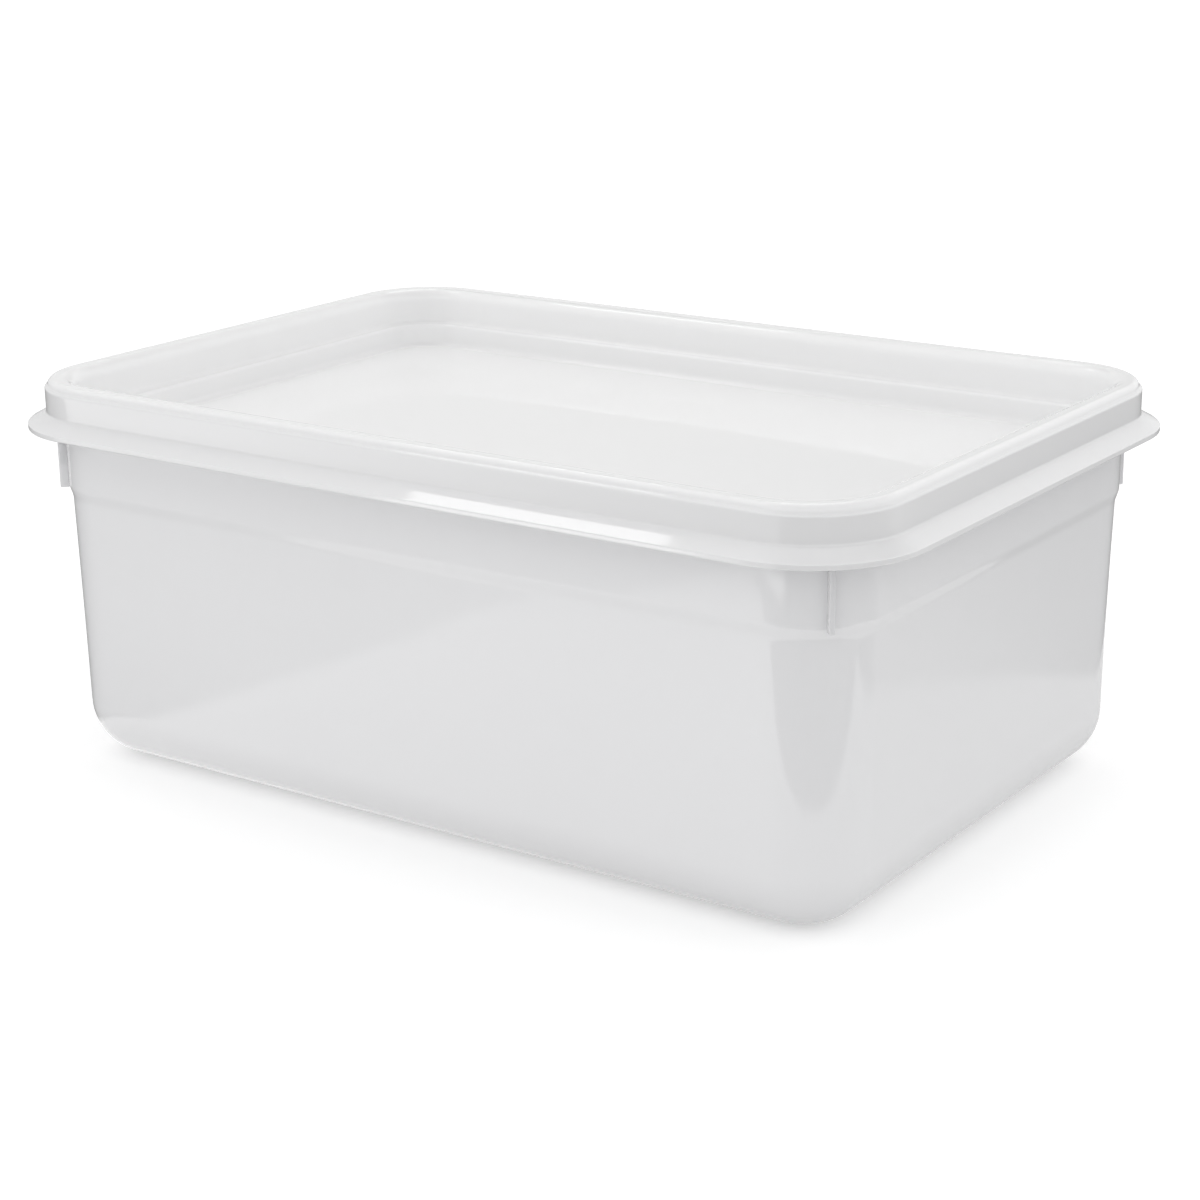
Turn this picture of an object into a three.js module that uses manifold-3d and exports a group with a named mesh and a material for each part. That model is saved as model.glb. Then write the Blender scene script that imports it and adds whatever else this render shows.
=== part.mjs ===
// Rectangular two-litre ice cream tub: a thin-walled moulded tub and its press-on lid.
// Millimetres, +Z up. The origin is at the centre of the base, with the long side along X.
import * as THREE from 'three';
import { mergeVertices } from 'three/addons/utils/BufferGeometryUtils.js';
import Module from 'manifold-3d';

// ---- Driving dimensions of the tub ----

const rimLength = 219; // along X, over the rim bead
const rimWidth = 147; // along Y, over the rim bead
const rimCornerRadius = 20; // outer corner of the rim bead, seen from above
const tubHeight = 91; // from the base to the top of the rim
const tubWall = 0.9;

const beadReach = 2.8; // how far the rim bead stands out from the collar
const beadHeight = 3;
const beadSlope = 0.8; // rise of the bead's sloped underside
const beadRounding = 1.3; // outer top edge of the bead
const rimInnerRounding = 2.2; // inner top edge of the rim

const collarHeight = 24.2; // from the top of the rim down to the shoulder
const collarStep = 0.8; // how far the collar stands out from the wall below it
const shoulderHeight = 2.6; // rise of the sloped shoulder under the collar
const wallDraft = 1.2; // how far each wall leans in between the shoulder and the base rounding
const baseRounding = 14;
const sharpestCorner = 1; // smallest corner radius of any level, seen from above

const finReach = 2; // how far a stacking fin stands out from the collar
const finThickness = 1.1;
const finOverhang = 0.8; // how far a fin reaches below the foot of the collar

// ---- Driving dimensions of the lid ----

const lidWall = 0.9;
const lidClearance = 0.3; // between the lid and the rim, all round and on top
const plugClearance = 0.5; // between the lid's recess wall and the inside of the tub

const skirtHeight = 11.4; // from the top of the lid down to the lower side of the lip
const lipReach = 4.3; // how far the flared lip stands out from the skirt
const lipEdge = 1.6; // thickness of the lip's rounded edge
const flareHeight = 1.9; // rise of the lip's sloped upper side from its edge to the skirt
const flareFillet = 0.8; // between the lip's upper side and the skirt

const recessDepth = 14.7; // from the top of the lid down to its panel
const ledgeDepth = 8.7; // from the top of the lid down to the ledge in the recess wall
const ledgeWidth = 1.5;
const ledgeDrop = 0.5; // fall of the ledge towards the panel
const recessDraft = 0.8; // how far the recess wall leans in above and again below the ledge
const panelFillet = 1.6;

const snapBeadRadius = 0.7; // half-round bead inside the skirt, which grips under the rim bead
const snapClearance = 0.3; // between the snap bead and both the rim bead and the fins

const leastFlat = 0.2; // shortest straight stretch that a rounding leaves beside it in a profile

// ---- Levels and offsets that follow from them ----

// An outset is measured from the outer edge of the rim bead: positive outwards, negative inwards.
const collarOut = -beadReach;
const wallOut = collarOut - collarStep;
const footOut = wallOut - wallDraft;
const shoulderTop = tubHeight - collarHeight;
const shoulderBottom = shoulderTop - shoulderHeight;
const beadBottom = tubHeight - beadHeight;
const beadRadius = Math.min(beadRounding, beadHeight - beadSlope - leastFlat, beadReach);
const rimInnerRadius = Math.min(rimInnerRounding, beadReach + tubWall - beadRadius - leastFlat);

const lidTop = tubHeight + lidClearance + lidWall;
const skirtOut = lidClearance + lidWall;
const lipOut = skirtOut + lipReach;
const recessOut = collarOut - tubWall - plugClearance - lidWall;
const ridgeOuterRadius = beadRadius + lidClearance + lidWall;
const ridgeInnerRadius = rimInnerRadius + lidClearance + lidWall;
const panelHeight = lidTop - recessDepth;
const snapHeight = beadBottom - snapClearance - snapBeadRadius;
const lipBottom = lidTop - skirtHeight;
const lipTop = lipBottom + lipEdge;
const flareRise = Math.min(
  flareHeight, snapHeight - snapBeadRadius - lipTop - flareFillet - leastFlat);

const cornerSegments = 8; // straight pieces in each corner, seen from above
const arcSegments = 6; // straight pieces in each rounding of a profile

// ---- Profiles ----

// Points of a circular arc in a profile, each as [outset, height].
function arc(centreOut, centreHeight, radius, fromDegrees, toDegrees) {
  const points = [];
  for (let i = 0; i <= arcSegments; i += 1) {
    const angle = THREE.MathUtils.degToRad(THREE.MathUtils.lerp(fromDegrees, toDegrees, i / arcSegments));
    points.push([centreOut + radius * Math.cos(angle), centreHeight + radius * Math.sin(angle)]);
  }
  return points;
}

// The path that runs beside a given one at a fixed distance, on its left-hand side.
function parallel(path, distance) {
  const normals = [];
  for (let i = 1; i < path.length; i += 1) {
    const along = new THREE.Vector2(path[i][0] - path[i - 1][0], path[i][1] - path[i - 1][1]).normalize();
    normals.push(new THREE.Vector2(-along.y, along.x));
  }
  return path.map(([out, height], i) => {
    const before = normals[Math.max(i - 1, 0)];
    const after = normals[Math.min(i, normals.length - 1)];
    const mitre = before.clone().add(after);
    mitre.multiplyScalar(distance / mitre.dot(after));
    return [out + mitre.x, height + mitre.y];
  });
}

// Section of the tub's wall, from the middle of the base outside to the middle of the base inside.
function tubProfile() {
  const rounding = Math.min(baseRounding, shoulderBottom - tubWall);
  const wall = [
    [footOut - rounding - tubWall, 0],
    ...arc(footOut - rounding, rounding, rounding, 270, 360),
    [wallOut, shoulderBottom],
    [collarOut, shoulderTop],
    [collarOut, tubHeight],
  ];
  const bead = [
    [collarOut, beadBottom],
    [0, beadBottom + beadSlope],
    ...arc(-beadRadius, tubHeight - beadRadius, beadRadius, 0, 90),
    ...arc(collarOut - tubWall + rimInnerRadius, tubHeight - rimInnerRadius, rimInnerRadius, 90, 180),
  ];
  const inside = parallel(wall, tubWall).slice(0, -1);
  return [...wall.slice(0, -1), ...bead, ...inside.reverse()];
}

// Section of the lid, from the middle of its underside, round the lip, to the middle of its panel.
function lidProfile() {
  const edgeRadius = lipEdge / 2;
  const edgeOut = lipOut - edgeRadius;
  const slope = Math.atan2(flareRise, edgeOut - skirtOut);
  const edgeEnd = 90 - THREE.MathUtils.radToDeg(slope);
  const edge = arc(edgeOut, lipBottom + edgeRadius, edgeRadius, -160, edgeEnd);
  const filletOut = skirtOut + flareFillet;
  const filletHeight = lipBottom + edgeRadius
    + ((edgeOut - filletOut) * Math.sin(slope) + edgeRadius + flareFillet) / Math.cos(slope);
  const flare = [
    edge.at(-1),
    ...arc(filletOut, filletHeight, flareFillet, 180 + edgeEnd, 180),
    [skirtOut, snapHeight - snapBeadRadius],
  ];
  const ledgeOut = recessOut - recessDraft;
  const panelOut = ledgeOut - ledgeWidth - recessDraft;
  const ledgeHeight = lidTop - ledgeDepth;
  const ridgeAndRecess = [
    [skirtOut, snapHeight + snapBeadRadius],
    ...arc(skirtOut - ridgeOuterRadius, lidTop - ridgeOuterRadius, ridgeOuterRadius, 0, 90),
    ...arc(recessOut + ridgeInnerRadius, lidTop - ridgeInnerRadius, ridgeInnerRadius, 90, 180),
    [ledgeOut, ledgeHeight],
    [ledgeOut - ledgeWidth, ledgeHeight - ledgeDrop],
    ...arc(panelOut - panelFillet, panelHeight + panelFillet, panelFillet, 0, -90),
    [panelOut - 2 * panelFillet, panelHeight],
  ];
  const snapBead = arc(skirtOut - lidWall, snapHeight, snapBeadRadius, 90, 270);
  return [
    ...parallel(ridgeAndRecess, lidWall).reverse(),
    ...snapBead.slice(1, -1),
    ...parallel(flare, lidWall).reverse().slice(0, -1),
    ...edge,
    ...flare.slice(1),
    ...ridgeAndRecess,
  ];
}

// ---- Solids ----

// One level of a solid: the rim's rounded rectangle, moved out or in by the outset.
function level(out, height) {
  const halfLength = rimLength / 2 + out;
  const halfWidth = rimWidth / 2 + out;
  const radius = Math.max(rimCornerRadius + out, sharpestCorner);
  const points = [];
  for (let corner = 0; corner < 4; corner += 1) {
    const centreX = (corner === 0 || corner === 3 ? 1 : -1) * (halfLength - radius);
    const centreY = (corner < 2 ? 1 : -1) * (halfWidth - radius);
    for (let i = 0; i <= cornerSegments; i += 1) {
      const angle = (corner + i / cornerSegments) * Math.PI / 2;
      points.push(new THREE.Vector3(
        centreX + radius * Math.cos(angle), centreY + radius * Math.sin(angle), height));
    }
  }
  return points;
}

// A closed solid from a profile that starts and ends on a flat face over the middle of the base.
function solidOfProfile(profile) {
  const positions = [];
  const triangle = (a, b, c) => positions.push(...a.toArray(), ...b.toArray(), ...c.toArray());
  const levels = profile.map(([out, height]) => level(out, height));
  const count = levels[0].length;
  const firstCentre = new THREE.Vector3(0, 0, profile[0][1]);
  const lastCentre = new THREE.Vector3(0, 0, profile.at(-1)[1]);
  for (let i = 0; i < count; i += 1) {
    const next = (i + 1) % count;
    triangle(firstCentre, levels[0][next], levels[0][i]);
    triangle(lastCentre, levels.at(-1)[i], levels.at(-1)[next]);
    for (let j = 1; j < levels.length; j += 1) {
      triangle(levels[j - 1][i], levels[j - 1][next], levels[j][next]);
      triangle(levels[j - 1][i], levels[j][next], levels[j][i]);
    }
  }
  const geometry = new THREE.BufferGeometry();
  geometry.setAttribute('position', new THREE.Float32BufferAttribute(positions, 3));
  return geometry;
}

// The plate of one stacking fin, which stands across its corner and starts inside the collar.
function finPlate(corner) {
  const root = tubWall / 2;
  const top = snapHeight - snapBeadRadius - snapClearance;
  const bottom = shoulderTop - finOverhang;
  const cornerRadius = rimCornerRadius + collarOut;
  const plate = new THREE.BoxGeometry(finReach + root, finThickness, top - bottom);
  plate.translate(cornerRadius + (finReach - root) / 2, 0, (top + bottom) / 2);
  plate.rotateZ((corner + 0.5) * Math.PI / 2);
  const sideX = corner === 0 || corner === 3 ? 1 : -1;
  const sideY = corner < 2 ? 1 : -1;
  plate.translate(
    sideX * (rimLength / 2 - rimCornerRadius), sideY * (rimWidth / 2 - rimCornerRadius), 0);
  return plate;
}

const wasm = await Module();
wasm.setup();

function toManifold(geometry) {
  const bare = geometry.clone();
  bare.deleteAttribute('normal');
  bare.deleteAttribute('uv');
  const merged = mergeVertices(bare);
  return new wasm.Manifold(new wasm.Mesh({
    numProp: 3,
    vertProperties: Float32Array.from(merged.attributes.position.array),
    triVerts: Uint32Array.from(merged.index.array),
  }));
}

function toGeometry(solid) {
  const mesh = solid.getMesh();
  const geometry = new THREE.BufferGeometry();
  geometry.setAttribute('position', new THREE.BufferAttribute(mesh.vertProperties, mesh.numProp));
  geometry.setIndex(new THREE.BufferAttribute(mesh.triVerts, 1));
  geometry.computeVertexNormals();
  return geometry;
}

function makeTub() {
  let solid = toManifold(solidOfProfile(tubProfile()));
  for (let corner = 0; corner < 4; corner += 1) {
    solid = solid.add(toManifold(finPlate(corner)));
  }
  const plastic = new THREE.MeshStandardMaterial({
    color: 0xe3e5e8, roughness: 0.4, metalness: 0, transparent: true, opacity: 0.85,
  });
  const tub = new THREE.Mesh(toGeometry(solid), plastic);
  tub.name = 'tub';
  return tub;
}

function makeLid() {
  const plastic = new THREE.MeshStandardMaterial({ color: 0xf1f2f2, roughness: 0.35, metalness: 0 });
  const lid = new THREE.Mesh(toGeometry(toManifold(solidOfProfile(lidProfile()))), plastic);
  lid.name = 'lid';
  return lid;
}

const iceCreamTub = new THREE.Group();
iceCreamTub.add(makeTub(), makeLid());

export default iceCreamTub;
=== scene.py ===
"""Looks of the ice cream tub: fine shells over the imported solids, plastics, a studio and the camera."""
import math

import bpy
from mathutils import Matrix, Vector, noise


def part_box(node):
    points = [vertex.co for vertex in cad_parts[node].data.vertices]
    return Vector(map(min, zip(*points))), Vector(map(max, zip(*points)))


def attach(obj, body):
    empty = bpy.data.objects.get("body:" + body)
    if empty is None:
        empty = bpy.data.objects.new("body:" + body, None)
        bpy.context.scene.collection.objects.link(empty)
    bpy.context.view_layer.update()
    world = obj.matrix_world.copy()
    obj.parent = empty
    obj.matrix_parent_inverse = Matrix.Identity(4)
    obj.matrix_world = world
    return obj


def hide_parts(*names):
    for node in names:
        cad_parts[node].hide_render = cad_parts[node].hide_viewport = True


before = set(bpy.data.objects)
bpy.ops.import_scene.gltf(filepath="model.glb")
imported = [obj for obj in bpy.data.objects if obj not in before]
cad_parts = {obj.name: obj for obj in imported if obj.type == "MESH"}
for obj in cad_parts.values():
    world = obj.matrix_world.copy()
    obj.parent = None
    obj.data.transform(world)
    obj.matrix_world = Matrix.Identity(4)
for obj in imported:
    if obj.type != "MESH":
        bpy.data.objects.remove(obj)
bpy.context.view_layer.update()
tub_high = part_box("tub")[1]
lid_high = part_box("lid")[1]

MM = 0.001

# ---- Sizes of the tub, in metres ----

RIM_CORNER = 20 * MM  # outer corner radius of the rim bead, seen from above
WALL = 0.9 * MM
BEAD_REACH = 2.8 * MM
BEAD_HEIGHT = 3 * MM
BEAD_SLOPE = 0.8 * MM
BEAD_EDGE = 0.3 * MM
BEAD_ROUNDING = 1.3 * MM
RIM_INNER_ROUNDING = 2.2 * MM
COLLAR_HEIGHT = 24.2 * MM
COLLAR_STEP = 0.8 * MM
COLLAR_ROUNDING = 4 * MM
SHOULDER_HEIGHT = 2.6 * MM
SHOULDER_ROUNDING = 5 * MM
WALL_DRAFT = 1.2 * MM
BASE_ROUNDING = 14 * MM

FIN_REACH = 2 * MM
FIN_ROOT = 0.15 * MM  # how far a fin goes into the collar
FIN_THICKNESS = 1.1 * MM
FIN_OVERHANG = 0.8 * MM
FIN_ROUNDING = 0.3 * MM
FIN_ROUNDING_STEPS = 4

# ---- Sizes of the lid ----

CLEARANCE = 0.3 * MM
PLUG_CLEARANCE = 0.5 * MM
SKIRT_HEIGHT = 11.4 * MM
PRESS_BEAD = 0.7 * MM
PRESS_BEAD_CREST = 0.4 * MM
PRESS_BEAD_FOOT = 0.1 * MM

LIP_REACH = 4.3 * MM
LIP_EDGE = 1.6 * MM
LIP_UNDERSIDE_ROUNDING = 0.4 * MM
LIP_INNER_ROUNDING = 0.3 * MM
LIP_LOWER_ROUNDING = 0.25 * MM
LIP_UPPER_ROUNDING = 0.2 * MM
LIP_EDGE_INSET = 1.5 * LIP_EDGE  # where the underside begins to bend into the thick edge
LIP_EDGE_RISE = 0.35 * LIP_EDGE
FLARE_HEIGHT = 1.9 * MM
FLARE_FILLET = 0.8 * MM
FLARE_WALL = 1.1 * WALL  # upright thickness at the root of the flare

CREST_HEIGHT = 1.9 * MM  # from the top of the skirt to the top of the lid
CREST_LEDGE = 0.7 * MM
CREST_LEDGE_RISE = 0.38 * MM
CREST_LEDGE_ROUNDING = 0.7 * MM
CREST_SETBACK = 1.1 * MM
CREST_ROUNDING = 1.5 * MM
CREST_FALL = 0.15 * MM
CREST_INNER_SHARE = 0.93  # of the plain ridge's inner rounding

RECESS_DEPTH = 14.7 * MM
RECESS_DRAFT = 0.8 * MM
LEDGE_DEPTH = 8.7 * MM
LEDGE_WIDTH = 1.5 * MM
LEDGE_DROP = 0.5 * MM
LEDGE_OUTER_ROUNDING = 1.2 * MM
LEDGE_INNER_ROUNDING = 1 * MM
PANEL_FILLET = 1.6 * MM

# ---- Levels, and outsets from the outer edge of the rim bead ----

TUB_TOP = tub_high.z
LID_TOP = lid_high.z
SKIRT_OUT = CLEARANCE + WALL
LIP_OUT = SKIRT_OUT + LIP_REACH
RIM_HALF = Vector((lid_high.x - LIP_OUT, lid_high.y - LIP_OUT))
COLLAR_OUT = -BEAD_REACH
WALL_OUT = COLLAR_OUT - COLLAR_STEP
FOOT_OUT = WALL_OUT - WALL_DRAFT
BASE_FLAT_OUT = FOOT_OUT - 2 * BASE_ROUNDING  # well inside the rounding
BEAD_BOTTOM = TUB_TOP - BEAD_HEIGHT
SHOULDER_TOP = TUB_TOP - COLLAR_HEIGHT
SHOULDER_BOTTOM = SHOULDER_TOP - SHOULDER_HEIGHT
RECESS_OUT = COLLAR_OUT - WALL - PLUG_CLEARANCE - WALL
LEDGE_OUT = RECESS_OUT - RECESS_DRAFT
LEDGE_HEIGHT = LID_TOP - LEDGE_DEPTH
PANEL_OUT = LEDGE_OUT - LEDGE_WIDTH - RECESS_DRAFT
PANEL_FLAT_OUT = PANEL_OUT - 4 * PANEL_FILLET  # well inside the fillet
PANEL_HEIGHT = LID_TOP - RECESS_DEPTH
SKIRT_TOP = LID_TOP - CREST_HEIGHT
PRESS_HEIGHT = BEAD_BOTTOM - CLEARANCE - PRESS_BEAD
LIP_BOTTOM = LID_TOP - SKIRT_HEIGHT
LIP_TOP = LIP_BOTTOM + LIP_EDGE

# ---- Fineness of the shells ----

ARC_STEP = math.radians(5)  # largest turn between neighbouring points of a rounding
LONGEST = 4 * MM  # longest straight step along a profile
SUPPORT = 0.35 * MM  # longest of the short steps on both sides of a rounding
LEAST_SUPPORTED = 0.3 * MM  # shorter straight stretches are left whole
LEAST_STRETCH = 0.0001 * MM
LEAST_ROUNDING = 0.15 * MM  # of a profile's parallel path
LEAST_CORNER = 1 * MM
CORNER_CUTS = 18
LONG_CUTS = 44
SHORT_CUTS = 30
CAP_RINGS = 14


# ---- Profiles: corners as (outset, height, radius) ----

def parallel(corners, distance):
    """The corners of the path that runs beside a given one, on its left-hand side."""
    points = [Vector(corner[:2]) for corner in corners]
    normals = [Vector((a.y - b.y, b.x - a.x)).normalized() for a, b in zip(points, points[1:])]
    moved = []
    for index, (out, height, radius) in enumerate(corners):
        before = normals[max(index - 1, 0)]
        after = normals[min(index, len(normals) - 1)]
        mitre = (before + after).normalized()
        mitre *= distance / mitre.dot(after)
        turn = before.x * after.y - before.y * after.x
        if radius:
            radius = max(radius - math.copysign(distance, turn), LEAST_ROUNDING)
        moved.append((out + mitre.x, height + mitre.y, radius))
    return moved


def rounding(before, corner, after, radius):
    """Points of the arc that rounds a corner between two neighbours."""
    back = (before - corner).normalized()
    ahead = (after - corner).normalized()
    half = back.angle(ahead) / 2
    start = corner + back * (radius / math.tan(half))
    end = corner + ahead * (radius / math.tan(half))
    centre = corner + (back + ahead).normalized() * (radius / math.sin(half))
    steps = max(2, math.ceil((math.pi - 2 * half) / ARC_STEP))
    spoke = start - centre
    turn = spoke.angle_signed(end - centre)
    return [centre + Matrix.Rotation(-turn * i / steps, 2) @ spoke for i in range(steps + 1)]


def add_straight(path, end):
    """Adds the straight stretch from the path's last point to the end, with short steps at both ends."""
    start = path[-1]
    length = (end - start).length
    if length < LEAST_STRETCH:
        return
    cuts = [1.0]
    if length > LEAST_SUPPORTED:
        support = min(SUPPORT, length / 4)
        first = support / length
        last = 1 - first
        between = max(1, math.ceil((length - 2 * support) / LONGEST))
        cuts = [first + (last - first) * i / between for i in range(between + 1)] + [1.0]
    path.extend(start.lerp(end, cut) for cut in cuts)


def rounded(corners):
    """Points of a profile with its corners rounded, close together in the roundings."""
    points = [Vector(corner[:2]) for corner in corners]
    path = [points[0]]
    for index in range(1, len(corners) - 1):
        arc = rounding(points[index - 1], points[index], points[index + 1], corners[index][2])
        add_straight(path, arc[0])
        path.extend(arc[1:])
    add_straight(path, points[-1])
    return path


def tub_profile():
    """From the flat of the base outside, up the wall and over the rim, to the flat of the base inside."""
    wall = [
        (BASE_FLAT_OUT, 0, 0),
        (FOOT_OUT, 0, BASE_ROUNDING),
        (WALL_OUT, SHOULDER_BOTTOM, SHOULDER_ROUNDING),
        (COLLAR_OUT, SHOULDER_TOP, COLLAR_ROUNDING),
        (COLLAR_OUT, BEAD_BOTTOM, BEAD_EDGE),
    ]
    bead = [
        (0, BEAD_BOTTOM + BEAD_SLOPE, BEAD_EDGE),
        (0, TUB_TOP, BEAD_ROUNDING),
        (COLLAR_OUT - WALL, TUB_TOP, RIM_INNER_ROUNDING),
    ]
    return rounded(wall + bead + parallel(wall, WALL)[-2::-1])


def lip_corners():
    """The lid's edge, from the bead that holds it on, under and round the flared lip, to the skirt."""
    inside = SKIRT_OUT - WALL
    slope = FLARE_HEIGHT / (LIP_REACH - LIP_EDGE / 2)
    return [
        (inside, PRESS_HEIGHT + PRESS_BEAD, PRESS_BEAD_FOOT),
        (inside - PRESS_BEAD, PRESS_HEIGHT, PRESS_BEAD_CREST),
        (inside, PRESS_HEIGHT - PRESS_BEAD, PRESS_BEAD_FOOT),
        (inside, LIP_TOP + FLARE_HEIGHT - FLARE_WALL, FLARE_FILLET + WALL),
        (LIP_OUT - LIP_EDGE_INSET, LIP_BOTTOM + LIP_EDGE_RISE, LIP_UNDERSIDE_ROUNDING),
        (LIP_OUT - LIP_EDGE, LIP_BOTTOM, LIP_INNER_ROUNDING),
        (LIP_OUT, LIP_BOTTOM, LIP_LOWER_ROUNDING),
        (LIP_OUT, LIP_TOP - slope * LIP_EDGE / 2, LIP_UPPER_ROUNDING),
        (SKIRT_OUT, LIP_TOP + FLARE_HEIGHT, FLARE_FILLET),
    ]


def lid_profile():
    """From the flat of the panel's underside, round the lip and over the ridge, to the flat of its top."""
    ridge_outer = BEAD_ROUNDING + SKIRT_OUT
    ridge_inner = RIM_INNER_ROUNDING + SKIRT_OUT
    recess = [
        (LEDGE_OUT, LEDGE_HEIGHT, LEDGE_OUTER_ROUNDING),
        (LEDGE_OUT - LEDGE_WIDTH, LEDGE_HEIGHT - LEDGE_DROP, LEDGE_INNER_ROUNDING),
        (PANEL_OUT, PANEL_HEIGHT, PANEL_FILLET),
        (PANEL_FLAT_OUT, PANEL_HEIGHT, 0),
    ]
    ridge = [
        (SKIRT_OUT, SKIRT_TOP, CREST_LEDGE_ROUNDING),
        (SKIRT_OUT - CREST_LEDGE, SKIRT_TOP + CREST_LEDGE_RISE, CREST_LEDGE_ROUNDING),
        (SKIRT_OUT - CREST_SETBACK, LID_TOP, CREST_ROUNDING),
        (RECESS_OUT, LID_TOP - CREST_FALL, ridge_inner * CREST_INNER_SHARE),
    ]
    plain_ridge = [
        (SKIRT_OUT, LID_TOP, ridge_outer),
        (RECESS_OUT, LID_TOP, ridge_inner),
    ]
    under = parallel([(SKIRT_OUT, PRESS_HEIGHT, 0)] + plain_ridge + recess, WALL)[1:]
    return rounded(under[::-1] + lip_corners() + ridge + recess)


# ---- Shells ----

def heading(angle):
    """The direction at an angle from +X, seen from above."""
    return Vector((math.cos(angle), math.sin(angle)))


def corner_centre(corner, half, radius):
    """The centre of a corner's rounding. Corners 0 to 3 go anticlockwise from the one at +X and +Y."""
    x_side = 1 if corner in (0, 3) else -1
    y_side = 1 if corner in (0, 1) else -1
    return Vector((x_side * (half.x - radius), y_side * (half.y - radius)))


def ring(out):
    """Points of the rim's rounded rectangle moved outwards, anticlockwise."""
    half = RIM_HALF + Vector((out, out))
    radius = max(RIM_CORNER + out, LEAST_CORNER)
    points = []
    for corner in range(4):
        centre = corner_centre(corner, half, radius)
        for index in range(CORNER_CUTS + 1):
            points.append(centre + radius * heading((corner + index / CORNER_CUTS) * math.pi / 2))
        start = points[-1]
        end = corner_centre((corner + 1) % 4, half, radius) + radius * heading((corner + 1) * math.pi / 2)
        cuts = LONG_CUTS if corner % 2 == 0 else SHORT_CUTS
        points.extend(start.lerp(end, index / cuts) for index in range(1, cuts))
    return points


def shade_smooth(mesh):
    """Lets a mesh's faces blend into each other."""
    mesh.polygons.foreach_set("use_smooth", [True] * len(mesh.polygons))


def cap(level):
    """Smaller and smaller copies of a ring, from the smallest outwards."""
    shares = [index / CAP_RINGS for index in range(1, CAP_RINGS)]
    return [[Vector((p.x * share, p.y * share, p.z)) for p in level] for share in shares]


def loft(name, profile, warp):
    """A shell through a ring at each point of the profile, closed by flat caps at both ends."""
    levels = [[Vector((p.x, p.y, point.y)) for p in ring(point.x)] for point in profile]
    rings = cap(levels[0]) + levels + cap(levels[-1])[::-1]
    vertices = [p for level in rings for p in level]
    count = len(rings[0])
    first_middle = len(vertices)
    last_middle = first_middle + 1
    vertices.append(Vector((0, 0, levels[0][0].z)))
    vertices.append(Vector((0, 0, levels[-1][0].z)))
    faces = []
    for low in range(0, first_middle - count, count):
        high = low + count
        for i in range(count):
            j = (i + 1) % count
            faces.append((low + i, low + j, high + j, high + i))
    last = first_middle - count
    for i in range(count):
        j = (i + 1) % count
        faces.append((first_middle, j, i))
        faces.append((last_middle, last + i, last + j))
    mesh = bpy.data.meshes.new(name)
    mesh.from_pydata([p + warp(p) for p in vertices], [], faces)
    shade_smooth(mesh)
    mesh.update()
    piece = bpy.data.objects.new(name, mesh)
    bpy.context.scene.collection.objects.link(piece)
    return piece


# ---- Unevenness of the thin plastic ----

BULGE = 0.35 * MM
BULGE_SIZE = 70 * MM
BULGE_SEED = 3
BULGE_START = (0, 30 * MM)  # heights between which the bulges grow
BULGE_END = (50 * MM, 75 * MM)  # heights between which they fade
PANEL_SAG = 0.45 * MM
PANEL_SAG_SIZE = 55 * MM
PANEL_SAG_SEED = 7
PANEL_START = (0.10, 0.35)  # shares of the way to the middle
LIP_SAG = 0.12 * MM
LIP_SAG_SIZE = 80 * MM
LIP_SAG_SEED = 11
NOISE_GAIN = 1.4


def smooth_step(low, high, value):
    """0 below the low value, 1 above the high one, and a smooth climb between them."""
    share = min(max((value - low) / (high - low), 0), 1)
    return share * share * (3 - 2 * share)


def wave(point, size, seed):
    """Smooth noise from about -1 to 1, whose bumps are about that size."""
    return noise.noise(point / size + seed * Vector((1, 2.7, 1.3))) * NOISE_GAIN


def inward(point):
    """How far a point is from the outline of the rim, as a share of the way to the middle."""
    return 1 - max(abs(point.x) / RIM_HALF.x, abs(point.y) / RIM_HALF.y)


def tub_warp(point):
    """Slight bulges and hollows of the tub's thin walls, none at the foot and the rim."""
    amount = BULGE * smooth_step(*BULGE_START, point.z) * (1 - smooth_step(*BULGE_END, point.z))
    outwards = Vector((point.x / RIM_HALF.x ** 2, point.y / RIM_HALF.y ** 2, 0)).normalized()
    return outwards * amount * wave(point, BULGE_SIZE, BULGE_SEED)


def lid_warp(point):
    """Slight waves of the lid's panel, and a lip that isn't quite flat."""
    panel = smooth_step(*PANEL_START, inward(point))
    panel_sag = PANEL_SAG * panel * (1 + wave(point, PANEL_SAG_SIZE, PANEL_SAG_SEED)) / 2
    lip_sag = LIP_SAG * (1 - panel) * (1 + wave(point, LIP_SAG_SIZE, LIP_SAG_SEED)) / 2
    return Vector((0, 0, -panel_sag - lip_sag))


# ---- Fins ----

def fin(corner):
    """One stacking fin, a thin plate with rounded edges that stands across its corner of the collar."""
    top = PRESS_HEIGHT - PRESS_BEAD - CLEARANCE
    bottom = SHOULDER_TOP - FIN_OVERHANG
    bpy.ops.mesh.primitive_cube_add(size=1)
    piece = bpy.context.object
    piece.scale = (FIN_REACH + FIN_ROOT, FIN_THICKNESS, top - bottom)
    bpy.ops.object.transform_apply(location=False, rotation=False, scale=True)
    edges = piece.modifiers.new("edges", "BEVEL")
    edges.width = FIN_ROUNDING
    edges.segments = FIN_ROUNDING_STEPS
    bpy.ops.object.modifier_apply(modifier="edges")
    away = RIM_CORNER + COLLAR_OUT + (FIN_REACH - FIN_ROOT) / 2
    centre = corner_centre(corner, RIM_HALF, RIM_CORNER)
    place = Matrix.Translation((centre.x, centre.y, (top + bottom) / 2))
    turn = Matrix.Rotation((corner + 0.5) * math.pi / 2, 4, "Z")
    piece.data.transform(place @ turn @ Matrix.Translation((away, 0, 0)))
    return piece


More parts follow.
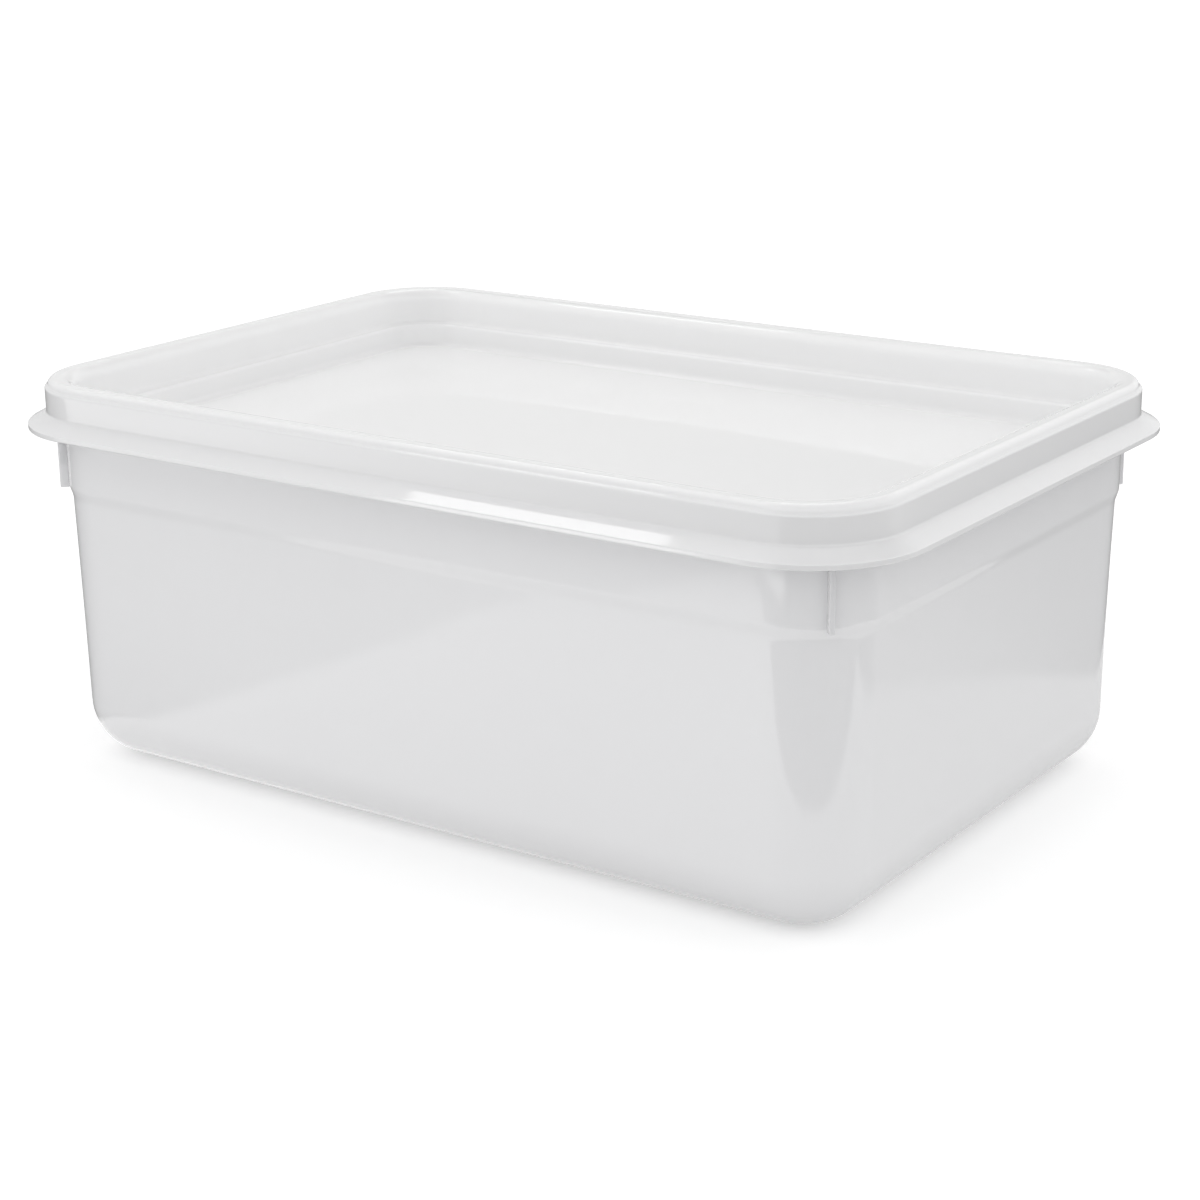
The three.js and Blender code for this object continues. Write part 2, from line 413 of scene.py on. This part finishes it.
def join(pieces, name):
    """Makes one piece of several."""
    bpy.ops.object.select_all(action="DESELECT")
    for piece in pieces:
        piece.select_set(True)
    bpy.context.view_layer.objects.active = pieces[0]
    bpy.ops.object.join()
    joined = bpy.context.object
    joined.name = name
    joined.data.name = name
    shade_smooth(joined.data)
    return joined


# ---- Building blocks of the materials ----

def node(tree, kind, inputs=None, **settings):
    """Adds a node with its settings and inputs, and links the inputs that are given as sockets."""
    made = tree.nodes.new(kind)
    for key, value in settings.items():
        setattr(made, key, value)
    for key, value in (inputs or {}).items():
        if isinstance(value, bpy.types.NodeSocket):
            tree.links.new(value, made.inputs[key])
        else:
            made.inputs[key].default_value = value
    return made


def empty_tree(owner):
    """The node tree of a material or a world, with nothing in it."""
    owner.use_nodes = True
    owner.node_tree.nodes.clear()
    return owner.node_tree


def mix(tree, kind, factor, first, second):
    """The blend of two colours (kind RGBA) or two numbers (kind FLOAT)."""
    inputs = {"RGBA": (6, 7), "FLOAT": (2, 3)}[kind]
    made = node(tree, "ShaderNodeMix", {0: factor, inputs[0]: first, inputs[1]: second}, data_type=kind)
    return made.outputs[{"RGBA": 2, "FLOAT": 0}[kind]]


def math_node(tree, operation, first, second):
    """The result of a sum on two numbers."""
    return node(tree, "ShaderNodeMath", {0: first, 1: second}, operation=operation).outputs["Value"]


def add(tree, first, second):
    """The sum of two numbers."""
    return math_node(tree, "ADD", first, second)


def multiply(tree, first, second):
    """The product of two numbers."""
    return math_node(tree, "MULTIPLY", first, second)


def maximum(tree, first, second):
    """The larger one of two numbers."""
    return math_node(tree, "MAXIMUM", first, second)


def vector_node(tree, operation, first, second=(0, 0, 0)):
    """The vector that comes out of a sum on one or two vectors."""
    return node(tree, "ShaderNodeVectorMath", {0: first, 1: second}, operation=operation).outputs["Vector"]


def dot(tree, first, second):
    """How far the first vector goes along the second."""
    made = node(tree, "ShaderNodeVectorMath", {0: first, 1: second}, operation="DOT_PRODUCT")
    return made.outputs["Value"]


def length_of(tree, vector):
    """The length of a vector."""
    return node(tree, "ShaderNodeVectorMath", {0: vector}, operation="LENGTH").outputs["Value"]


def ramp(tree, value, span, levels=(0.0, 1.0)):
    """A number that goes smoothly from one level to the other while the value goes through the span."""
    made = node(tree, "ShaderNodeMapRange", {
        "Value": value,
        "From Min": span[0],
        "From Max": span[1],
        "To Min": levels[0],
        "To Max": levels[1],
    }, interpolation_type="SMOOTHSTEP")
    return made.outputs["Result"]


# ---- Plastics ----

PLASTIC_IOR = 1.5
PLASTIC_SPECULAR = 1.0
PLASTIC_DEPTH = 0.12 * MM  # how far light wanders under the skin
CLOUD_SCALE = 22
CLOUD_DETAIL = 4
CLOUD_ROUGHNESS = 0.55
FLOW_SCALE = (30, 30, 160)  # flow marks lie level round the walls
FLOW_DETAIL = 3
FLOW_RANGE = (0.3, 0.7)  # of the noise, for the whole range of roughness
FLOW_BUMP = (0.025, 0.4 * MM)  # strength, distance
SKIN_SCALE = 900
SKIN_DETAIL = 2
SKIN_BUMP = (0.01, 0.1 * MM)
SATIN = (0.05, 0.08)  # least and greatest roughness
SMOOTH = (0.03, 0.05)
TUB_TONES = ((0.873, 0.873, 0.883, 1), (0.888, 0.888, 0.898, 1))  # darkest and lightest
# Painted shade: the fins' tones are darker than the tub's.
FIN_PAINTED_SHADE_TONES = ((0.80, 0.80, 0.81, 1), (0.82, 0.82, 0.83, 1))
LID_TONES = ((0.964, 0.964, 0.97, 1), (0.972, 0.972, 0.978, 1))
# Painted shade: the skirt and the lip get a darker tone than the rest of the lid.
SKIRT_PAINTED_SHADE_TONE = (0.836, 0.836, 0.841, 1)
SKIRT_BLEND = 1 * MM  # on both sides of the rim's outer edge


def noise_value(tree, place, scale, detail, roughness=0.5):
    """Noise from 0 to 1 at a place."""
    made = node(tree, "ShaderNodeTexNoise", {
        "Vector": place,
        "Scale": scale,
        "Detail": detail,
        "Roughness": roughness,
    })
    return made.outputs["Fac"]


def cloudy(tree, place, tones):
    """Faint clouds between the darkest and the lightest tone."""
    clouds = noise_value(tree, place, CLOUD_SCALE, CLOUD_DETAIL, CLOUD_ROUGHNESS)
    return mix(tree, "RGBA", clouds, *tones)


def lid_colour(tree, place):
    """The lid's white, and a darker tone outside the rim's outer edge, in the skirt and the lip: painted
    shade for the shaded gap behind them.
    """
    flat = vector_node(tree, "MULTIPLY", place, (1, 1, 0))
    mirrored = vector_node(tree, "ABSOLUTE", flat)
    from_corner = (RIM_HALF.x - RIM_CORNER, RIM_HALF.y - RIM_CORNER, 0)
    spread = vector_node(tree, "MAXIMUM", vector_node(tree, "SUBTRACT", mirrored, from_corner))
    edge = (RIM_CORNER - SKIRT_BLEND, RIM_CORNER + SKIRT_BLEND)
    outer = ramp(tree, length_of(tree, spread), edge)
    return mix(tree, "RGBA", outer, cloudy(tree, place, LID_TONES), SKIRT_PAINTED_SHADE_TONE)


def tub_colour(tree, place):
    """The tub's milky white."""
    return cloudy(tree, place, TUB_TONES)


def fin_painted_shade_colour(tree, place):
    """Painted shade: the fins get a tone darker than the wall's, because they look darker with no white
    space behind them.
    """
    return cloudy(tree, place, FIN_PAINTED_SHADE_TONES)


def plastic(name, colour, roughness):
    """Translucent polypropylene: milky depth, flow marks and a fine skin over a colour."""
    material = bpy.data.materials.new(name)
    tree = empty_tree(material)
    place = node(tree, "ShaderNodeTexCoord").outputs["Object"]
    stretch = node(tree, "ShaderNodeMapping", {"Vector": place, "Scale": FLOW_SCALE}).outputs["Vector"]
    flow = noise_value(tree, stretch, 1, FLOW_DETAIL)
    skin = noise_value(tree, place, SKIN_SCALE, SKIN_DETAIL)
    gloss = node(tree, "ShaderNodeMapRange", {
        "Value": flow,
        "From Min": FLOW_RANGE[0],
        "From Max": FLOW_RANGE[1],
        "To Min": roughness[0],
        "To Max": roughness[1],
    })
    skin_bump = node(tree, "ShaderNodeBump", {
        "Height": skin,
        "Strength": SKIN_BUMP[0],
        "Distance": SKIN_BUMP[1],
    })
    flow_bump = node(tree, "ShaderNodeBump", {
        "Height": flow,
        "Strength": FLOW_BUMP[0],
        "Distance": FLOW_BUMP[1],
        "Normal": skin_bump.outputs["Normal"],
    })
    shader = node(tree, "ShaderNodeBsdfPrincipled", {
        "Base Color": colour(tree, place),
        "Roughness": gloss.outputs["Result"],
        "Normal": flow_bump.outputs["Normal"],
        "IOR": PLASTIC_IOR,
        "Specular IOR Level": PLASTIC_SPECULAR,
        "Subsurface Weight": 1.0,
        "Subsurface Radius": (1.0, 1.0, 1.0),
        "Subsurface Scale": PLASTIC_DEPTH,
    })
    node(tree, "ShaderNodeOutputMaterial", {"Surface": shader.outputs["BSDF"]})
    return material


# ---- Floor ----

FLOOR_RADIUS = 8
FLOOR_SIDES = 96
FLOOR_COLOUR = (0.76, 0.76, 0.76, 1)
FLOOR_GLOW = 0.04
FLOOR_LIFT = 0.33  # extra light of the floor where the camera sees it
WHITE = (1, 1, 1, 1)

# What reflections see of the floor: a glow painted for reflections only. Places are in metres, levels are
# shares of white.
# The sheet is a white paper under the tub with three straight edges, darker to the right.
SHEET_EDGES = ((42.85, 0.180), (-47.15, 0.189), (195.08, 0.130))  # direction in degrees, distance
SHEET_FADE = 0.008
SHEET_SPAN = (-0.15, 0.20)
SHEET_LEVELS = (1.15, 0.6)

# The table round the sheet is dim towards the right-hand front and behind the tub, and even far away.
TABLE_CENTRE = (0.03, -0.03, 0)
FRONT_DIRECTION = (0.84, -0.54, 0)
FRONT_SPAN = (0.1, 0.8)
FRONT_LEVELS = (0.7, 0.0)
BACK_DIRECTION = (-0.57, 0.82, 0)
BACK_SPAN = (-0.1, 0.5)
BACK_LEVELS = (1.0, 0.25)
FAR_SPAN = (0.6, 0.9)
FAR_LEVEL = 0.68

# A bright band crosses the table in front of the tub. It ends on the right.
BAND_EDGE = (-0.275, -0.305)
BAND_END = (0.12, 0.08)
BAND_SPAN = (-0.05, -0.33)
BAND_LEVELS = (0.5, 1.7)

# The brightest strip of the band lights the edge of the lid's lip, most of all in its middle part.
STRIP_START = (-0.298, -0.304)
STRIP_END = (-0.320, -0.327)
STRIP_LEVEL = 1.5
STRIP_MIDDLE_START = (-0.20, -0.185)
STRIP_MIDDLE_END = (-0.075, -0.065)
STRIP_MIDDLE_EXTRA = 1.3


def past_sheet(tree, place):
    """0 on the sheet and 1 beyond its edges."""
    past = []
    for degrees, distance in SHEET_EDGES:
        across = heading(math.radians(degrees)).to_3d()
        past.append(add(tree, dot(tree, place, across), -distance))
    farthest = maximum(tree, maximum(tree, past[0], past[1]), past[2])
    return ramp(tree, farthest, (-SHEET_FADE, 0))


def band_level(tree, x, y):
    """The brightness of the band in front of the tub and of its brightest strip."""
    strip = multiply(tree, ramp(tree, y, STRIP_START), ramp(tree, y, STRIP_END, (1.0, 0.0)))
    middle = multiply(tree, ramp(tree, x, STRIP_MIDDLE_START),
                      ramp(tree, x, STRIP_MIDDLE_END, (STRIP_MIDDLE_EXTRA, 0.0)))
    strip_level = add(tree, middle, STRIP_LEVEL)
    return mix(tree, "FLOAT", strip, ramp(tree, x, BAND_SPAN, BAND_LEVELS), strip_level)


def table_level(tree, place, x, y):
    """The brightness of the table beyond the sheet."""
    offset = vector_node(tree, "SUBTRACT", place, TABLE_CENTRE)
    direction = vector_node(tree, "NORMALIZE", offset)
    front = ramp(tree, dot(tree, direction, FRONT_DIRECTION), FRONT_SPAN, FRONT_LEVELS)
    back = ramp(tree, dot(tree, direction, BACK_DIRECTION), BACK_SPAN, BACK_LEVELS)
    in_band = multiply(tree, ramp(tree, y, BAND_EDGE), ramp(tree, x, BAND_END))
    near = mix(tree, "FLOAT", in_band, multiply(tree, front, back), band_level(tree, x, y))
    return mix(tree, "FLOAT", ramp(tree, length_of(tree, offset), FAR_SPAN), near, FAR_LEVEL)


def floor_material():
    """A white table top. Reflections see it as painted glow: a white sheet on it, dimmer surroundings and
    a bright band.
    """
    material = bpy.data.materials.new("floor_white")
    tree = empty_tree(material)
    place = node(tree, "ShaderNodeNewGeometry").outputs["Position"]
    path = node(tree, "ShaderNodeLightPath")
    parts = node(tree, "ShaderNodeSeparateXYZ", {"Vector": place})
    x = parts.outputs["X"]
    y = parts.outputs["Y"]

    white = node(tree, "ShaderNodeBsdfDiffuse", {"Color": FLOOR_COLOUR}).outputs["BSDF"]
    glow = add(tree, multiply(tree, path.outputs["Is Camera Ray"], FLOOR_LIFT), FLOOR_GLOW)
    lift = node(tree, "ShaderNodeEmission", {"Color": WHITE, "Strength": glow}).outputs["Emission"]
    lit = node(tree, "ShaderNodeAddShader", {0: white, 1: lift}).outputs["Shader"]

    sheet = ramp(tree, x, SHEET_SPAN, SHEET_LEVELS)
    seen = mix(tree, "FLOAT", past_sheet(tree, place), sheet, table_level(tree, place, x, y))
    # Painted glow, seen only in reflections.
    mirrored = node(tree, "ShaderNodeEmission", {"Color": WHITE, "Strength": seen}).outputs["Emission"]
    glossy = path.outputs["Is Glossy Ray"]
    surface = node(tree, "ShaderNodeMixShader", {"Fac": glossy, 1: lit, 2: mirrored})
    node(tree, "ShaderNodeOutputMaterial", {"Surface": surface.outputs["Shader"]})
    return material


def floor():
    """The pale floor that the tub stands on."""
    bpy.ops.mesh.primitive_circle_add(vertices=FLOOR_SIDES, radius=FLOOR_RADIUS, fill_type="NGON")
    ground = bpy.context.object
    ground.name = "floor"
    ground.data.materials.append(floor_material())


# ---- Dome of light ----

# The light on matt surfaces: nearly even, darker low down towards the right-hand front.
DOME_LEVEL = 1.01
DOME_TILT = (0.10, -0.08, 0.03)
SHADE_DIRECTION = (0.76, -0.62, 0.2)
SHADE_SPAN = (0.5, 1.0)
SHADE_LEVELS = (0.0, -0.35)

# What reflections see of the dome: a level low down and another one overhead.
LOW_SPAN = (-0.42, -0.60)
LOW_LEVELS = (0.92, 1.08)
LOW_RIGHT_SPAN = (-0.40, -0.15)
LOW_RIGHT_LEVELS = (0.0, 0.5)
LOW_SHARE = 0.68
CLIMB_SPAN = (0.5, 0.78)
OVERHEAD_LEVEL = 0.25
OVERHEAD_LEFT_SPAN = (-0.15, -0.5)
OVERHEAD_LEFT_LEVELS = (0.0, 0.6)
OVERHEAD_BACK_SPAN = (0.25, 0.40)

# A dark flag to the left behind the tub, a soft glow at the left front and a lamp high behind the tub.
FLAG_CENTRE = (-0.565, 0.5, 0)
FLAG_SIZE = (0.06, 0.12, 1)
FLAG_SPAN = (0.7, 1.1)
FLAG_LEVELS = (0.1, 1.0)
GLOW_DIRECTION = (-0.43, -0.65, 0.62)
GLOW_SPAN = (0.75, 0.95)
GLOW_LEVELS = (0.0, 0.3)
LAMP_DIRECTION = Vector((-0.25, 0.5, 0.83)).normalized()
LAMP_SPAN = (0.97, 0.985)
LAMP_LEVELS = (0.0, 1.3)


def soft_level(tree, direction):
    """The brightness of the dome for matt surfaces."""
    even = add(tree, dot(tree, direction, DOME_TILT), DOME_LEVEL)
    return add(tree, even, ramp(tree, dot(tree, direction, SHADE_DIRECTION), SHADE_SPAN, SHADE_LEVELS))


def flag_level(tree, direction):
    """Dark inside the flag and 1 outside."""
    flat = vector_node(tree, "MULTIPLY", direction, (1, 1, 0))
    apart = vector_node(tree, "DIVIDE", vector_node(tree, "SUBTRACT", flat, FLAG_CENTRE), FLAG_SIZE)
    return ramp(tree, length_of(tree, apart), FLAG_SPAN, FLAG_LEVELS)


def mirrored_level(tree, direction):
    """The brightness of the dome in reflections."""
    parts = node(tree, "ShaderNodeSeparateXYZ", {"Vector": direction})
    x = parts.outputs["X"]
    low = add(tree, ramp(tree, x, LOW_SPAN, LOW_LEVELS), ramp(tree, x, LOW_RIGHT_SPAN, LOW_RIGHT_LEVELS))
    overhead = multiply(tree, ramp(tree, x, OVERHEAD_LEFT_SPAN, OVERHEAD_LEFT_LEVELS),
                        ramp(tree, parts.outputs["Y"], OVERHEAD_BACK_SPAN, (1.0, 0.0)))
    overhead = add(tree, overhead, OVERHEAD_LEVEL)
    climb = ramp(tree, parts.outputs["Z"], CLIMB_SPAN)
    level = mix(tree, "FLOAT", climb, multiply(tree, low, LOW_SHARE), overhead)
    level = multiply(tree, flag_level(tree, direction), level)
    glow = ramp(tree, dot(tree, direction, GLOW_DIRECTION), GLOW_SPAN, GLOW_LEVELS)
    lamp = ramp(tree, dot(tree, direction, LAMP_DIRECTION), LAMP_SPAN, LAMP_LEVELS)
    return add(tree, level, add(tree, glow, lamp))


def dome():
    """Light from all round. The camera itself sees plain white."""
    world = bpy.data.worlds.new("studio")
    bpy.context.scene.world = world
    tree = empty_tree(world)
    direction = node(tree, "ShaderNodeTexCoord").outputs["Generated"]
    path = node(tree, "ShaderNodeLightPath")
    level = mix(tree, "FLOAT", path.outputs["Is Glossy Ray"], soft_level(tree, direction),
                mirrored_level(tree, direction))
    level = mix(tree, "FLOAT", path.outputs["Is Camera Ray"], level, 1.0)
    background = node(tree, "ShaderNodeBackground", {"Color": WHITE, "Strength": level})
    node(tree, "ShaderNodeOutputWorld", {"Surface": background.outputs["Background"]})


# ---- Softbox ----

SOFTBOX_SIZE = (0.2, 0.15)
SOFTBOX_POWER = 0.16
SOFTBOX_TARGET = Vector((0.038, -0.083, 0.078))
SOFTBOX_SIDE = Vector((-0.567, 0.16, 0.806)).normalized()  # from the target, 1 m away


def softbox():
    """A lamp high on the left that is seen only in reflections: the highlight along the lid's lip."""
    lamp = bpy.data.lights.new("strip_softbox", "AREA")
    lamp.shape = "RECTANGLE"
    lamp.size, lamp.size_y = SOFTBOX_SIZE
    lamp.energy = SOFTBOX_POWER
    box = bpy.data.objects.new("strip_softbox", lamp)
    along = (Vector((0, 1, 0)) - SOFTBOX_SIDE * SOFTBOX_SIDE.y).normalized()
    turn = Matrix((along, SOFTBOX_SIDE.cross(along), SOFTBOX_SIDE)).transposed().to_4x4()
    box.matrix_world = Matrix.Translation(SOFTBOX_TARGET + SOFTBOX_SIDE) @ turn
    box.visible_camera = False
    box.visible_diffuse = False
    bpy.context.scene.collection.objects.link(box)


# ---- Camera ----

LENS = 77.49  # focal length and sensor width in millimetres, as a camera states them
SENSOR = 36
AZIMUTH = math.radians(34.797)  # from straight in front towards the right
ELEVATION = math.radians(17.263)
ROLL = math.radians(-0.611)
TARGET = Vector((33.77, -44.34, 55.51)) * MM
DISTANCE = 548.06 * MM


def camera():
    """The view of the near long side and the right-hand short side, from above."""
    lens = bpy.data.cameras.new("camera")
    lens.lens = LENS
    lens.sensor_width = SENSOR
    viewer = bpy.data.objects.new("camera", lens)
    level = Vector((math.sin(AZIMUTH), -math.cos(AZIMUTH), 0))
    back = level * math.cos(ELEVATION) + Vector((0, 0, math.sin(ELEVATION)))
    turn = (-back).to_track_quat("-Z", "Y").to_matrix().to_4x4() @ Matrix.Rotation(ROLL, 4, "Z")
    viewer.matrix_world = Matrix.Translation(TARGET + back * DISTANCE) @ turn
    bpy.context.scene.collection.objects.link(viewer)
    bpy.context.scene.camera = viewer


# ---- The tub and its lid ----

def dress(piece, material, replaced):
    """Gives a piece its material, hangs it from the root body in its place, and hides the solid that it
    replaces.
    """
    piece.data.materials.clear()
    piece.data.materials.append(material)
    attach(piece, "root")
    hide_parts(replaced)


def tub():
    """The tub's shell and its four fins."""
    shell = loft("tub_shell", tub_profile(), tub_warp)
    fins = join([fin(corner) for corner in range(4)], "tub_fins")
    dress(shell, plastic("tub_plastic", tub_colour, SATIN), "tub")
    # The fins' material carries painted shade.
    dress(fins, plastic("fin_painted_shade_plastic", fin_painted_shade_colour, SATIN), "tub")


def lid():
    """The lid's shell."""
    shell = loft("lid_shell", lid_profile(), lid_warp)
    dress(shell, plastic("lid_plastic", lid_colour, SMOOTH), "lid")


tub()
lid()
floor()
dome()
softbox()
camera()
bpy.context.scene.view_settings.view_transform = "Standard"
bpy.context.scene.view_settings.look = "None"
